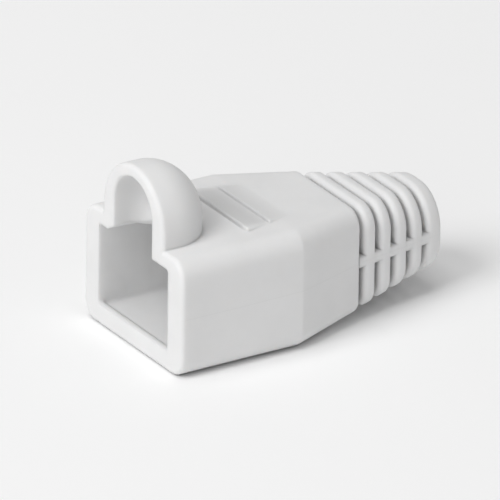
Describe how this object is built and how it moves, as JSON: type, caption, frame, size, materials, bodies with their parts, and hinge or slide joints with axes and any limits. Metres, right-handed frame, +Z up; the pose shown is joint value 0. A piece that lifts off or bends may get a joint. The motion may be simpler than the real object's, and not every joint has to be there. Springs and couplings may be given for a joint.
{
  "type": "strain relief boot",
  "caption": "Soft one-piece strain relief boot for a modular plug: socket, arched latch hood, thumb steps and a slotted ribbed tail round the cable.",
  "frame": {"origin": "centre of the plug socket's mouth, on the cable's axis", "axes": "+Y along the cable, from the plug's mouth to the tail; +Z up, towards the latch hood; +X across"},
  "size_m": [0.0168, 0.0308, 0.018],
  "materials": {
    "soft_plastic": "matt moulded soft plastic, pale grey white"
  },
  "bodies": {
    "root": {"boot": "soft_plastic"}
  },
  "joints": []
}
